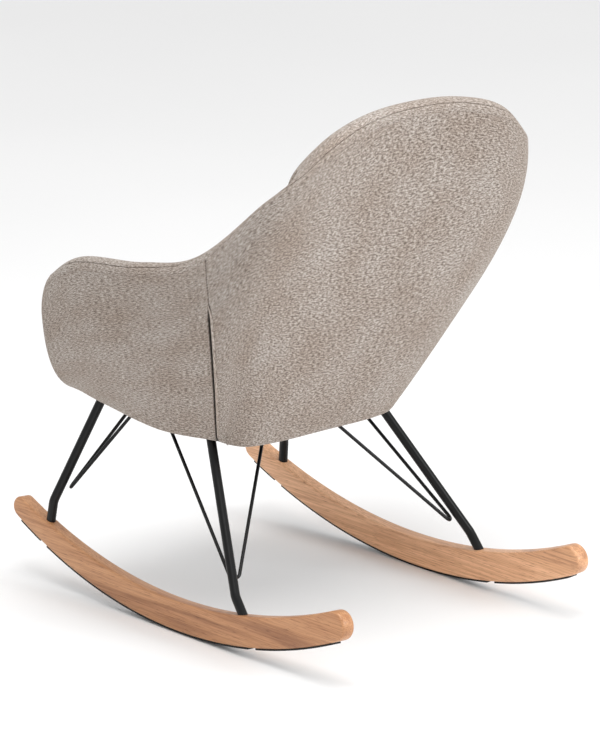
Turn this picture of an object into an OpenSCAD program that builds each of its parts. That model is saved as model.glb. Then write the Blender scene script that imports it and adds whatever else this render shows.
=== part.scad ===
// Rocking chair: an upholstered bucket seat on four steel legs, braced to two curved wooden rockers.
// The sitter faces -Y and the sitter's left is +X. The floor is Z = 0.

/* [Rockers] */
// Distance between the rockers' centre lines where they meet the floor
rocker_track = 543; // [450:1:640]
// Width of a rocker across its section
rocker_w = 26; // [20:1:40]
// Lean of each rocker's top towards the middle
rocker_cant = 3.7; // [0:0.1:6]
// Radius of the rolling line under the glide strips
roll_r = 998; // [850:1:1300]
// Reach of the rocker in front of its lowest point
rocker_front = 446; // [380:1:520]
// Reach of the rocker behind its lowest point
rocker_rear = 406; // [380:1:520]
// Height of the rocker at its front tip
front_tip_h = 36; // [28:1:50]
// Height of the rocker over its lowest point
rocker_mid_h = 51; // [40:1:70]
// Height of the rocker at its rear tip
rear_tip_h = 51; // [40:1:70]
// Thickness of a glide strip
glide_t = 3; // [1.5:0.5:6]
// Width of a glide strip
glide_w = 20; // [12:1:26]
// Length of the break in the glide strips at each rocker bolt
glide_gap = 19; // [12:1:30]

/* [Legs] */
// Outer diameter of a leg tube
leg_d = 16; // [12:0.5:22]
// Wall of a leg tube
leg_wall = 1.5; // [1:0.1:2.5]
// Place of the front foot behind the rocker's lowest point
front_foot_y = -357; // [-390:1:-250]
// Place of the rear foot behind the rocker's lowest point
rear_foot_y = 146; // [100:1:220]
// Lean of the front foot towards the back, from upright
front_foot_lean = 8; // [0:1:25]
// Lean of the rear foot towards the front, from upright
rear_foot_lean = 38; // [10:1:42]
// Length of the foot above the rocker, up to the front leg's bend
front_foot_l = 36; // [20:1:60]
// Length of the foot above the rocker, up to the rear leg's bend
rear_foot_l = 33; // [20:1:60]
// Depth of the socket that a foot sits in
socket_depth = 10; // [5:1:16]
// Bend radius of a leg, on its centre line
leg_bend_r = 40; // [24:1:60]
// Diameter of a brace rod
brace_d = 6; // [4:0.5:9]
// Bend radius of a brace, on its centre line
brace_bend_r = 9; // [6:1:14]
// Distance from a leg's bend up to the apex of its brace
brace_rise = 10; // [5:1:30]

/* [Under-frame] */
// Diameter of the frame rails
rail_d = 12; // [10:1:16]
// Height of the rear rail's centre above the floor
rail_z = 321; // [280:1:360]
// Place of the rear rail behind the rockers' lowest point
rail_rear_y = -34; // [-60:1:0]
// Distance between the front and rear rails
rail_depth = 257; // [200:1:300]
// Half of the distance between the tops of the rear legs
rear_top_x = 182; // [150:1:190]
// Half of the distance between the tops of the front legs
front_top_x = 196; // [160:1:205]
// Rise of the seat plane towards the front
seat_tilt = 5; // [0:0.5:8]
// Place where the rear brace meets the rear rail
rear_brace_x = 58; // [30:1:110]
// Place where the front brace meets the front rail
front_brace_x = 92; // [40:1:130]
// Distance along the side rail from the rear rail to the rear brace
rear_brace_y = 110; // [60:1:120]
// Distance along the side rail from the rear rail to the front brace
front_brace_y = 172; // [130:1:200]
// Thickness of the welded frame tabs
tab_t = 4; // [2:0.5:6]
// Length and width of a frame tab
tab_size = 40; // [30:1:60]

/* [Fasteners] */
// Thread diameter of the rocker bolts
rocker_bolt_d = 8; // [6:1:10]
// Thread diameter of the seat bolts
seat_bolt_d = 6; // [5:1:8]
// Depth of a rocker bolt's counterbore
counterbore_depth = 16; // [12:1:22]
// Length of the threaded plug in a leg's foot
plug_l = 22; // [15:1:30]

/* [Seat] */
// Thickness of the plywood seat panel
panel_t = 12; // [9:1:18]
// Height of the seat foam over the panel at the wall
foam_h = 62; // [45:1:80]
// Rise of the seat foam at its middle
foam_crown = 16; // [5:1:30]
// Thickness of the seat's fabric cover
seat_cover_t = 3; // [2:0.5:5]
// Reach of the seat's rounded front past the arms
seat_lobe = 28; // [5:1:40]

/* [Shell] */
// Thickness of the upholstered wall
wall_t = 38; // [34:1:46]
// Half width between the wall's middle lines at the widest of the arms
arm_x = 332; // [290:1:370]
// Half width between the wall's middle lines at the widest of the back
back_x = 268; // [230:1:290]
// Half width of the wall's lower edge at its rear corners
base_x = 187; // [184:1:200]
// Height of the back's top edge above the floor, at the wall's middle line
back_z = 898; // [800:1:980]
// Height of the arm at the middle of its top edge
arm_z = 629; // [570:1:680]
// Thickness of the moulded core
core_t = 8; // [6:1:10]
// Thickness of the outer covers with their lining
outer_t = 4.5; // [3:0.5:5]
// Thickness of the inner cover
inner_t = 3; // [2:0.5:4]
// Diameter of the seam piping
piping_d = 5; // [4:0.5:6]
// Width of the recessed slit beside a corner seam
slit_w = 9; // [6:1:14]

/* [Hidden] */
$fn = 48;

LEFT = 1;
RIGHT = -1;
black = [0.07, 0.07, 0.08];
steel = [0.6, 0.6, 0.62];
oak = [0.76, 0.56, 0.38];
ply = [0.8, 0.68, 0.5];
fabric = [0.66, 0.62, 0.58];
foam = [0.93, 0.9, 0.78];
gap = 0.3;
weld_gap = 0.05;
fit = 0.2;

// ---- Rocker geometry, in the plane of a rocker: Y along it, Z up from the rolling line
wood_r = roll_r - glide_t;
// The top edge is the circle through the tops at the front tip, the lowest point and the rear tip
function wood_z(y) = roll_r - sqrt(wood_r * wood_r - y * y);
function slope(y) = asin(y / wood_r);
function over(y, h) = [y - h * sin(slope(y)), wood_z(y) + h * cos(slope(y))];
top_a = over(-rocker_front + front_tip_h / 2, front_tip_h);
top_b = over(0, rocker_mid_h);
top_c = over(rocker_rear - rear_tip_h / 2, rear_tip_h);
function sq(p) = p[0] * p[0] + p[1] * p[1];
top_det = 2 * (top_a[0] * (top_b[1] - top_c[1]) + top_b[0] * (top_c[1] - top_a[1])
  + top_c[0] * (top_a[1] - top_b[1]));
top_y = (sq(top_a) * (top_b[1] - top_c[1]) + sq(top_b) * (top_c[1] - top_a[1])
  + sq(top_c) * (top_a[1] - top_b[1])) / top_det;
top_z = (sq(top_a) * (top_c[0] - top_b[0]) + sq(top_b) * (top_a[0] - top_c[0])
  + sq(top_c) * (top_b[0] - top_a[0])) / top_det;
top_r = norm([top_a[0] - top_y, top_a[1] - top_z]);
function top_surface(y) = top_z - sqrt(top_r * top_r - (y - top_y) * (y - top_y));

rocker_lift = glide_w / 2 * sin(rocker_cant);
mid_shift = (rocker_front - rocker_rear) / 2;
// A point of a rocker's plane, in the chair's frame
function canted(side, y, z) =
  [side * (rocker_track / 2 - z * sin(rocker_cant)), y, rocker_lift + z * cos(rocker_cant)];

// ---- Feet: the point where a foot's axis meets the rocker's top, and its direction upwards
function foot_y(front) = front ? front_foot_y : rear_foot_y;
function foot_lean(front) = front ? front_foot_lean : -rear_foot_lean;
function foot_l(front) = front ? front_foot_l : rear_foot_l;
function along(front, s) = [
  foot_y(front) + s * sin(foot_lean(front)),
  top_surface(foot_y(front)) + s * cos(foot_lean(front))
];
// Distance down the foot's axis from the rocker's top to its underside
function wood_depth(front) =
  let (dy = foot_y(front), dz = top_surface(foot_y(front)) - roll_r,
    uy = sin(foot_lean(front)), uz = cos(foot_lean(front)),
    b = dy * uy + dz * uz, c = dy * dy + dz * dz - wood_r * wood_r)
  b + sqrt(b * b - c);
function bolt_exit(front) = along(front, -wood_depth(front));
function exit_angle(front) = asin(bolt_exit(front)[0] / wood_r);
head_s = 8;
bolt_head_d = rocker_bolt_d * 1.6;
washer_t = 1.6;
washer_d = rocker_bolt_d * 2;
counterbore_d = washer_d + 1;
function head_seat(front) = wood_depth(front) - counterbore_depth;
thread_clear = 0.1;

// ---- Under-frame: a plane that rises to the front
function seat_pt(x, y, z) = [
  x,
  rail_rear_y + y * cos(seat_tilt) + z * sin(seat_tilt),
  rail_z - y * sin(seat_tilt) + z * cos(seat_tilt)
];
function leg_top(side, front) =
  seat_pt(side * (front ? front_top_x : rear_top_x), front ? -rail_depth : 0, 0);
function leg_bend(side, front) =
  let (p = along(front, foot_l(front))) canted(side, p[0], p[1]);
function leg_end(side, front) =
  let (p = along(front, -socket_depth)) canted(side, p[0], p[1]);
function unit(v) = v / norm(v);
function side_rail_x(y) = rear_top_x + (front_top_x - rear_top_x) * y / rail_depth;
tab_z = rail_d / 2;
cover_z = tab_z + tab_t + gap;
cover_t = 1.2;
panel_z = cover_z + cover_t + gap;
panel_top = panel_z + panel_t;
bolt_x = [front_top_x - 50, rear_top_x - 46];
bolt_y = [-rail_depth + tab_size / 2 + rail_d / 2 - 10, -tab_size / 2 - rail_d / 2 + 10];

module placed() translate([0, mid_shift, 0]) children();
module on_rocker(side)
  placed() translate([side * rocker_track / 2, 0, rocker_lift]) rotate([0, -side * rocker_cant, 0]) children();
// Turns a Y-Z outline into a bar of the given width across X
module across(w) rotate([90, 0, 90]) translate([0, 0, -w / 2]) linear_extrude(w) children();
module on_foot(side, front, s)
  on_rocker(side) translate([0, along(front, s)[0], along(front, s)[1]])
    rotate([-foot_lean(front), 0, 0]) children();
module in_seat() placed() translate([0, rail_rear_y, rail_z]) rotate([-seat_tilt, 0, 0]) children();
module each_foot() for (side = [LEFT, RIGHT], front = [true, false]) on_foot(side, front, 0) children();

// ---- Rockers
nose_front = front_tip_h / 2;
nose_rear = rear_tip_h / 2;
function nose_at(y, h) = over(y, h / 2);
module keep_inside(y, h, way)
  translate(nose_at(y, h)) rotate(slope(y)) translate([way > 0 ? 0 : -2 * roll_r, -roll_r])
    square(2 * roll_r);

module rocker_outline() {
  y_f = -(rocker_front - nose_front) / (1 - nose_front / wood_r);
  y_r = (rocker_rear - nose_rear) / (1 - nose_rear / wood_r);
  intersection() {
    difference() {
      translate([0, roll_r]) circle(wood_r, $fn = 360);
      translate([top_y, top_z]) circle(top_r, $fn = 360);
    }
    translate([-2 * rocker_front, -roll_r]) square([4 * rocker_front, 2 * roll_r]);
    keep_inside(y_f, front_tip_h, 1);
    keep_inside(y_r, rear_tip_h, -1);
  }
  translate(nose_at(y_f, front_tip_h)) circle(nose_front);
  translate(nose_at(y_r, rear_tip_h)) circle(nose_rear);
}

module foot_cuts(front) {
  drop = wood_depth(front);
  translate([0, along(front, 0)[0], along(front, 0)[1]]) rotate([-foot_lean(front), 0, 0]) {
    translate([0, 0, -socket_depth]) cylinder(h = 2 * socket_depth + leg_d, d = leg_d + 2 * fit);
    translate([0, 0, -drop - leg_d]) cylinder(h = drop + leg_d, d = rocker_bolt_d + 0.6);
    translate([0, 0, -drop - leg_d]) cylinder(h = leg_d + counterbore_depth, d = counterbore_d);
  }
}

module rocker(side) color(oak) on_rocker(side) difference() {
  across(rocker_w) rocker_outline();
  foot_cuts(true);
  foot_cuts(false);
}

// A strip of the rolling line between two angles, in degrees from the lowest point
module glide(side, from, to) color(black) on_rocker(side) across(glide_w) intersection() {
  difference() {
    translate([0, roll_r]) circle(roll_r, $fn = 360);
    translate([0, roll_r]) circle(wood_r + gap / 3, $fn = 360);
  }
  translate([0, roll_r]) polygon([
    [0, 0],
    2 * roll_r * [sin(from), -cos(from)],
    2 * roll_r * [sin((from + to) / 2), -cos((from + to) / 2)],
    2 * roll_r * [sin(to), -cos(to)]
  ]);
}
half_gap = asin(glide_gap / 2 / roll_r);
glide_start = -asin((rocker_front - nose_front - 4) / wood_r);
glide_end = asin((rocker_rear - nose_rear - 4) / wood_r);
module glide_front(side) glide(side, glide_start, exit_angle(true) - half_gap);
module glide_mid(side) glide(side, exit_angle(true) + half_gap, exit_angle(false) - half_gap);
module glide_rear(side) glide(side, exit_angle(false) + half_gap, glide_end);

// ---- Legs, braces and rails
// A closed tube through rings of points
module tube_of(rings) {
  n = len(rings[0]);
  m = len(rings);
  polyhedron(
    points = [for (r = rings) each r],
    faces = concat(
      [[for (j = [n - 1 : -1 : 0]) j]],
      [for (i = [0 : m - 2], j = [0 : n - 1])
        let (a = i * n + j, b = i * n + (j + 1) % n) each [[a, b, b + n], [a, b + n, a + n]]],
      [[for (j = [0 : n - 1]) (m - 1) * n + j]]
    )
  );
}

// Rings of n points along a rod from p over the corner b to q, bent to radius r at the corner
function bent_rings(p, b, q, d, r, n, steps) =
  let (u1 = unit(b - p), u2 = unit(q - b), turn = acos(u1 * u2), back = r * tan(turn / 2),
    x = -unit(u2 - (u2 * u1) * u1), z = cross(x, u1), centre = b - u1 * back - x * r,
    at = [for (i = [0 : steps]) let (a = turn * i / steps)
      [centre + r * (x * cos(a) + u1 * sin(a)), x * cos(a) + u1 * sin(a)]],
    stops = concat([[p, at[0][1]]], at, [[q, at[steps][1]]]))
  [for (c = stops) [for (k = [0 : n - 1]) let (a = 360 * k / n) c[0] + (c[1] * cos(a) + z * sin(a)) * d / 2]];
// A tube between outer rings and inner rings, open at both ends
module hollow_of(outer, inner) {
  n = len(outer[0]);
  m = len(outer);
  size = n * m;
  polyhedron(
    points = concat([for (r = outer) each r], [for (r = inner) each r]),
    faces = [
      for (i = [0 : m - 2], j = [0 : n - 1])
        let (a = i * n + j, b = i * n + (j + 1) % n)
        each [[a, b, b + n], [a, b + n, a + n],
          [a + size, b + n + size, b + size], [a + size, a + n + size, b + n + size]],
      for (j = [0 : n - 1])
        let (b = (j + 1) % n, top = (m - 1) * n)
        each [[j, b + size, b], [j, j + size, b + size],
          [top + j, top + b, top + b + size], [top + j, top + b + size, top + j + size]]
    ]
  );
}
module straight(p, q, d) {
  v = q - p;
  translate(p) rotate([0, acos(v[2] / norm(v)), atan2(v[1], v[0])]) cylinder(h = norm(v), d = d);
}
leg_sides = 20;
leg_steps = 6;
brace_sides = 10;
brace_steps = 8;
function leg_tip(side, front) =
  leg_top(side, front) + unit(leg_top(side, front) - leg_bend(side, front)) * rail_d / 2;
function leg_rings(side, front, d) =
  bent_rings(leg_end(side, front), leg_bend(side, front), leg_tip(side, front), d, leg_bend_r,
    leg_sides, leg_steps);
module leg(side, front) color(black) placed()
  hollow_of(leg_rings(side, front, leg_d), leg_rings(side, front, leg_d - 2 * leg_wall));
// The space a leg's upper run takes, for what is cut to fit around it
module leg_envelope(side, front)
  straight(leg_bend(side, front), 2 * leg_tip(side, front) - leg_top(side, front), leg_d + 2 * weld_gap);

function side_rail_pt(side, y) = seat_pt(side * side_rail_x(y), -y, 0);
module rail_run(front, d) straight(leg_top(RIGHT, front), leg_top(LEFT, front), d);
module side_run(side, d) straight(leg_top(side, false), leg_top(side, true), d);

module rail_across(front) color(black) placed() difference() {
  rail_run(front, rail_d);
  for (side = [LEFT, RIGHT]) leg_envelope(side, front);
}
module rail_side(side) color(black) placed() difference() {
  side_run(side, rail_d);
  for (front = [true, false]) {
    leg_envelope(side, front);
    rail_run(front, rail_d + 2 * weld_gap);
  }
}

function brace_on_leg(side, front) =
  let (p = leg_bend(side, front), q = leg_top(side, front)) p + unit(q - p) * brace_rise;
function brace_tops(side, front) = [
  side_rail_pt(side, front ? front_brace_y : rear_brace_y),
  seat_pt(side * (front ? front_brace_x : rear_brace_x), front ? -rail_depth : 0, 0)
];
// The apex lies beside the leg, on the side that faces both of the rails it runs to
function brace_apex(side, front) =
  let (o = brace_on_leg(side, front), t = unit(leg_top(side, front) - o),
    tops = brace_tops(side, front), m = (tops[0] + tops[1]) / 2 - o)
  o + unit(m - (m * t) * t) * ((leg_d + brace_d) / 2 + weld_gap);
// Pulls the end of an arm back from the axis of the rail it is welded to
function pulled_back(tip, from, rail) =
  let (u = unit(tip - from), c = abs(u * unit(rail)), s = sqrt(1 - c * c))
  tip - u * ((rail_d / 2 + brace_d / 2 * c) / s + weld_gap);
module brace(side, front) color(black) placed() {
  apex = brace_apex(side, front);
  tops = brace_tops(side, front);
  side_way = leg_top(side, true) - leg_top(side, false);
  tube_of(bent_rings(pulled_back(tops[0], apex, side_way), apex, pulled_back(tops[1], apex, [1, 0, 0]),
    brace_d, brace_bend_r, brace_sides, brace_steps));
}

module leg_plugs() color(steel) each_foot() translate([0, 0, -socket_depth]) difference() {
  cylinder(h = plug_l, d = (leg_d - 2 * leg_wall) * cos(180 / leg_sides) - 2 * weld_gap);
  translate([0, 0, -1]) cylinder(h = plug_l + 2, d = rocker_bolt_d + thread_clear);
}
module rocker_bolt(front) {
  seat = head_seat(front) + washer_t;
  translate([0, 0, -seat]) cylinder(h = seat - socket_depth + plug_l - 2, d = rocker_bolt_d);
  difference() {
    translate([0, 0, -seat - head_s]) cylinder(h = head_s, d = bolt_head_d);
    translate([0, 0, -seat - head_s - 1]) cylinder(h = head_s / 2 + 1, d = rocker_bolt_d * 0.85, $fn = 6);
  }
}
module rocker_bolts() color(steel) for (side = [LEFT, RIGHT], front = [true, false])
  on_foot(side, front, 0) rocker_bolt(front);
module rocker_washers() color(steel) for (side = [LEFT, RIGHT], front = [true, false])
  on_foot(side, front, 0) translate([0, 0, -head_seat(front) - washer_t]) difference() {
    cylinder(h = washer_t, d = washer_d);
    translate([0, 0, -1]) cylinder(h = washer_t + 2, d = rocker_bolt_d + 0.4);
  }

// ---- Seat panel and its fixings
module each_seat_bolt() in_seat() for (side = [LEFT, RIGHT], i = [0, 1])
  translate([side * bolt_x[i], bolt_y[i], 0]) children();
module frame_tabs() color(black) each_seat_bolt() translate([0, 0, tab_z + weld_gap]) difference() {
  translate([-tab_size / 2, -tab_size / 2, 0]) cube([tab_size, tab_size, tab_t]);
  translate([0, 0, -1]) cylinder(h = tab_t + 2, d = seat_bolt_d + 0.6);
}
seat_bolt_top = panel_top - 2;
module seat_bolts() color(steel) each_seat_bolt() {
  bottom = tab_z + weld_gap - washer_t;
  translate([0, 0, bottom]) cylinder(h = seat_bolt_top - bottom, d = seat_bolt_d);
  translate([0, 0, bottom - 4]) cylinder(h = 4, d = seat_bolt_d * 1.8, $fn = 6);
}
module seat_washers() color(steel) each_seat_bolt() translate([0, 0, tab_z + weld_gap - washer_t]) difference() {
  cylinder(h = washer_t, d = seat_bolt_d * 2.2);
  translate([0, 0, -1]) cylinder(h = washer_t + 2, d = seat_bolt_d + 0.4);
}
tee_d = seat_bolt_d + 3;
tee_flange_t = 1.5;
module tee_nuts() color(steel) each_seat_bolt() difference() {
  union() {
    translate([0, 0, panel_top]) cylinder(h = tee_flange_t, d = tee_d * 2.2);
    translate([0, 0, panel_z + 1]) cylinder(h = panel_t - 1, d = tee_d);
  }
  translate([0, 0, panel_z]) cylinder(h = panel_t + tee_flange_t + 1, d = seat_bolt_d + thread_clear);
}

// ---- Shell: half of the wall's middle surface, as stations from the middle of the back to the arm's front.
// Each station is a lower point, a middle point and a rim point, and the other half is its mirror image.
base_z = rail_z + 15;
function base_h(y) = base_z + (50 - y) * tan(seat_tilt);
half_net = [
  [[0, 49, base_h(49)], [0, 176, 593], [0, 256, back_z]],
  [[96, 47, base_h(47)], [back_x * 0.43, 182, 601], [back_x * 0.4, 262, back_z - 7]],
  [[155, 34, base_h(34)], [back_x * 0.785, 180, 611], [back_x * 0.76, 266, back_z - 39]],
  [[base_x - 13, 8, base_h(8)], [back_x, 158, 606], [back_x, 226, back_z - 115]],
  [[base_x, -11, base_h(-11)], [arm_x - 49, 82, 540], [arm_x - 25, 96, arm_z + 33]],
  [[base_x + 34, -109, base_h(-109) - 8], [arm_x - 32, -35, arm_z - 121], [arm_x, -25, arm_z]],
  [[base_x + 45, -229, base_h(-229) - 4], [arm_x - 31, -174, arm_z - 162], [arm_x + 6, -176, arm_z - 20]],
  [[base_x + 52, -309, base_h(-309) + 4], [arm_x - 41, -297, arm_z - 204], [arm_x - 23, -294, arm_z - 83]]
];
last = len(half_net) - 1;
// Station of the corner seams
seam = 3.86;
function flip(p) = [-p[0], p[1], p[2]];
function net(i, level) = i < 0 ? flip(net(-i, level)) : i > last
  ? 2 * half_net[last][level] - half_net[2 * last - i][level] : half_net[i][level];
// Smooth curve through one level of the net, at station s
function ring(s, level) =
  let (i = max(-last, min(last - 1, floor(s))), t = s - i,
    p0 = net(i - 1, level), p1 = net(i, level), p2 = net(i + 1, level), p3 = net(i + 2, level))
  (2 * p1 + (p2 - p0) * t + (2 * p0 - 5 * p1 + 4 * p2 - p3) * t * t
    + (3 * p1 - p0 - 3 * p2 + p3) * t * t * t) / 2;
// The middle surface: v is 0 at the lower edge and 1 at the rim
function mid(s, v) =
  ring(s, 0) * (1 - v) * (1 - 2 * v) + ring(s, 1) * 4 * v * (1 - v) + ring(s, 2) * v * (2 * v - 1);
function along_s(s, v) = mid(s + 0.02, v) - mid(s - 0.02, v);
function along_v(s, v) = mid(s, v + 0.01) - mid(s, v - 0.01);
function outward(s, v) = unit(cross(along_v(s, v), along_s(s, v)));
function wall(s, v, d) = mid(s, v) + outward(s, v) * d;

function grid_faces(rows, cols, at, turned) = [
  for (i = [0 : rows - 2], j = [0 : cols - 2])
    let (a = at + i * cols + j, b = a + 1, c = a + cols + 1, e = a + cols)
    each turned ? [[a, e, c], [a, c, b]] : [[a, b, c], [a, c, e]]
];
// Closes the edges between two grids of the same size
function edge_loop(rows, cols) = concat(
  [for (j = [0 : cols - 2]) j],
  [for (i = [0 : rows - 2]) i * cols + cols - 1],
  [for (j = [cols - 1 : -1 : 1]) (rows - 1) * cols + j],
  [for (i = [rows - 1 : -1 : 1]) i * cols]
);
function edge_faces(loop, size) = [
  for (k = [0 : len(loop) - 1])
    let (a = loop[k], b = loop[(k + 1) % len(loop)])
    each [[a, b, b + size], [a, b + size, a + size]]
];
// Even marks between two ends, and the ends themselves. Every layer shares them, so the layers stay parallel.
s_step = 1 / 4;
v_step = 1 / 8;
function marks(from, to, step) = concat(
  [from],
  [for (k = [floor(from / step + 0.2) + 1 : ceil(to / step - 0.2) - 1]) k * step],
  [to]
);
// A layer of the wall between two stations and two heights, from d_out to d_in off the middle surface
module layer(s0, s1, v0, v1, d_out, d_in) {
  s_marks = marks(s0, s1, s_step);
  v_marks = marks(v0, v1, v_step);
  rows = len(v_marks);
  cols = len(s_marks);
  function grid(d) = [for (v = v_marks, s = s_marks) wall(s, v, d)];
  size = rows * cols;
  polyhedron(
    points = concat(grid(d_in), grid(d_out)),
    faces = concat(
      grid_faces(rows, cols, 0, true),
      grid_faces(rows, cols, size, false),
      edge_faces(edge_loop(rows, cols), size)
    )
  );
}

half_t = wall_t / 2;
outer_in = half_t - outer_t;
core_out = outer_in - gap;
core_in = core_out - core_t;
foam_out = core_in - gap;
inner_out = -half_t + inner_t;
foam_in = inner_out + gap;
// Height, as a share of the wall, where the inner layers start above the seat panel
liner_v = v_step;
hem_v = -0.035;
seam_half = slit_w / 200;

module shell_core() color(ply) difference() {
  placed() layer(-last, last, 0, 1, core_out, core_in);
  screw_cuts();
}
module wall_foam() color(foam) placed()
  layer(-last, last, liner_v, 1, foam_out, foam_in);
module inner_cover() color(fabric) placed()
  layer(-last, last, liner_v, 1, inner_out, -half_t);
module outer_back_cover() color(fabric) placed()
  layer(-seam + seam_half, seam - seam_half, hem_v, 1, half_t, outer_in);
module outer_side_cover(side) color(fabric) placed() {
  if (side == LEFT) layer(seam + seam_half, last, hem_v, 1, half_t, outer_in);
  else layer(-last, -seam - seam_half, hem_v, 1, half_t, outer_in);
}

// The rim border is a half round along the arm fronts and the rim
// The seam between the border and the covers
rim_gap = 1.2;
front_marks = marks(hem_v, 1, v_step);
front_last = len(front_marks) - 2;
rim_marks = marks(-last, last, s_step);
function border_at(s, v, along_rim, side) =
  let (o = mid(s, v), n = outward(s, v), up = unit(along_v(s, v)), out = unit(along_s(s, v)) * side,
    e0 = unit(up * along_rim + out * (1 - along_rim)), e = unit(e0 - (e0 * n) * n))
  [for (k = [0 : 6]) let (a = -90 + k * 30) o + e * rim_gap + (e * cos(a) - n * sin(a) * side) * half_t];
border_rings = concat(
  [for (i = [0 : front_last]) border_at(-last, front_marks[i], 0, -1)],
  [border_at(-last, 1, 0.5, -1)],
  [for (i = [1 : len(rim_marks) - 2]) border_at(rim_marks[i], 1, 1, -1)],
  [[for (k = [6 : -1 : 0]) border_at(last, 1, 0.5, 1)[k]]],
  [for (i = [front_last : -1 : 0]) [for (k = [6 : -1 : 0]) border_at(last, front_marks[i], 0, 1)[k]]]
);
module rim_border() color(fabric) placed() tube_of(border_rings);

// Piping in the slit of each corner seam
module seam_piping(side) color(fabric) placed() {
  r = piping_d / 2;
  tube_of([for (i = [0 : 14])
    let (v = 0.02 + 0.95 * i / 14, s = side * seam, o = wall(s, v, core_out + gap + r),
      n = outward(s, v), w = unit(cross(unit(along_v(s, v)), n)))
    [for (k = [0 : 7]) o + (n * cos(k * 45) + w * sin(k * 45)) * r]]);
}

// ---- Seat
front_cols = 15;
seat_gap = 2.2;
// Height of a point over the rails' plane
function plane_h(p) = (p[2] - rail_z - (rail_rear_y - p[1]) * tan(seat_tilt)) * cos(seat_tilt);
// Share of the wall's height where the face at offset d reaches height h at station s, found by halving
function v_at(s, h, d, lo = -0.1, hi = 0.5, steps = 14) =
  let (m = (lo + hi) / 2)
  steps == 0 ? m : plane_h(wall(s, m, d)) < h ? v_at(s, h, d, m, hi, steps - 1) : v_at(s, h, d, lo, m, steps - 1);
// Lifts a point to height h over the rails' plane
function to_plane(p, h) =
  [p[0], p[1], rail_z + (rail_rear_y - p[1]) * tan(seat_tilt) + h / cos(seat_tilt)];
// Outline inside the wall at height h and offset d, up to the stations at reach, closed by a rounded front
function seat_outline(h, d, lobe, reach = last) =
  let (walls = [for (s = marks(-reach, reach, s_step)) to_plane(wall(s, v_at(s, h, d), d), h)],
    a = walls[len(walls) - 1], b = walls[0])
  concat(walls, [for (j = [1 : front_cols]) let (t = j / (front_cols + 1), q = a + (b - a) * t)
      to_plane(q + [0, -lobe * (1 - pow(2 * t - 1, 4)), 0], h)]);
function shrink(outline, k, rise) =
  let (c = to_plane([0, -130, 0], plane_h(outline[0])))
  [for (p = outline) c + (p - c) * k + [0, 0, rise]];

module seat_holes(d, from, to)
  each_seat_bolt() translate([0, 0, from]) cylinder(h = to - from, d = d);

screw_d = 4;
screw_l = 28;
// Depth of a screw's head behind the leaning face of the core
screw_in = 3.5;
screw_stations = [-6.2, -4.85, -3, -1.2, 1.2, 3, 4.85, 6.2];
screw_h = (base_z - rail_z + panel_top) / 2;
// Screws lie in the panel's plane and point at it from the core's outer face
module each_core_screw() placed() for (s = screw_stations) {
  v = v_at(s, screw_h, core_out);
  n = outward(s, v);
  up = [0, sin(seat_tilt), cos(seat_tilt)];
  flat = unit(n - (n * up) * up);
  translate(wall(s, v, core_out)) multmatrix([
    [cross(up, flat)[0], up[0], -flat[0], 0],
    [cross(up, flat)[1], up[1], -flat[1], 0],
    [cross(up, flat)[2], up[2], -flat[2], 0],
    [0, 0, 0, 1]
  ]) children();
}
module core_screws() color(steel) each_core_screw() {
  translate([0, 0, screw_in]) cylinder(h = 2, d1 = 2 * screw_d, d2 = screw_d);
  translate([0, 0, screw_in + 1.5]) cylinder(h = screw_l - screw_in - 1.5, d = screw_d);
}
module screw_cuts() each_core_screw() {
  translate([0, 0, -core_t]) cylinder(h = core_t + screw_in, d = 2 * screw_d + fit);
  translate([0, 0, screw_in]) cylinder(h = 2 + fit, d1 = 2 * screw_d + fit, d2 = screw_d + fit);
  translate([0, 0, screw_in + 1]) cylinder(h = screw_l, d = screw_d + fit / 2);
}
panel_edge = core_in - 1;
// The panel and its cover stop short of the arm fronts, behind the seat cover's front
panel_reach = last - 0.15;
// A flat sheet of the panel's outline, from height h up by t over the rails' plane
module sheet(h, t) in_seat() translate([0, 0, h]) linear_extrude(t) polygon([
  for (p = seat_outline(h, panel_edge, 0, panel_reach))
    [p[0], (p[1] - rail_rear_y - h * sin(seat_tilt)) / cos(seat_tilt)]
]);
module seat_panel() color(ply) difference() {
  sheet(panel_z, panel_t);
  seat_holes(tee_d + fit, panel_z - 1, panel_top + 1);
  screw_cuts();
}
module bottom_cover() color(black) difference() {
  sheet(cover_z, cover_t);
  seat_holes(seat_bolt_d + 1, cover_z - 1, cover_z + cover_t + 1);
}

seat_bottom = panel_top + tee_flange_t + gap;
// Rings of the seat from its lower edge over its crown, with an inset from the outermost face
function seat_rings(inset) =
  let (d = -half_t - seat_gap - inset, top = seat_bottom + foam_h - inset, lobe = seat_lobe - inset,
    edge = seat_outline(top, d, lobe))
  [
    seat_outline(seat_bottom, d, seat_lobe / 3 - inset),
    seat_outline(seat_bottom + foam_h * 0.45, d, lobe),
    seat_outline(seat_bottom + foam_h * 0.8, d, lobe),
    shrink(edge, 0.965, 0),
    shrink(edge, 0.85, foam_crown * 0.35),
    shrink(edge, 0.6, foam_crown * 0.8),
    shrink(edge, 0.25, foam_crown)
  ];
// The lower edge of the cover: its front hangs down in front of the panel
function skirt(ring, down) = [
  for (k = [0 : len(ring) - 1]) ring[k] - [0, 0, k < len(ring) - front_cols ? gap : down]
];
function cover_rings(inset) = concat([skirt(seat_rings(inset)[0], seat_bottom - cover_z + 1)], seat_rings(inset));
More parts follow.
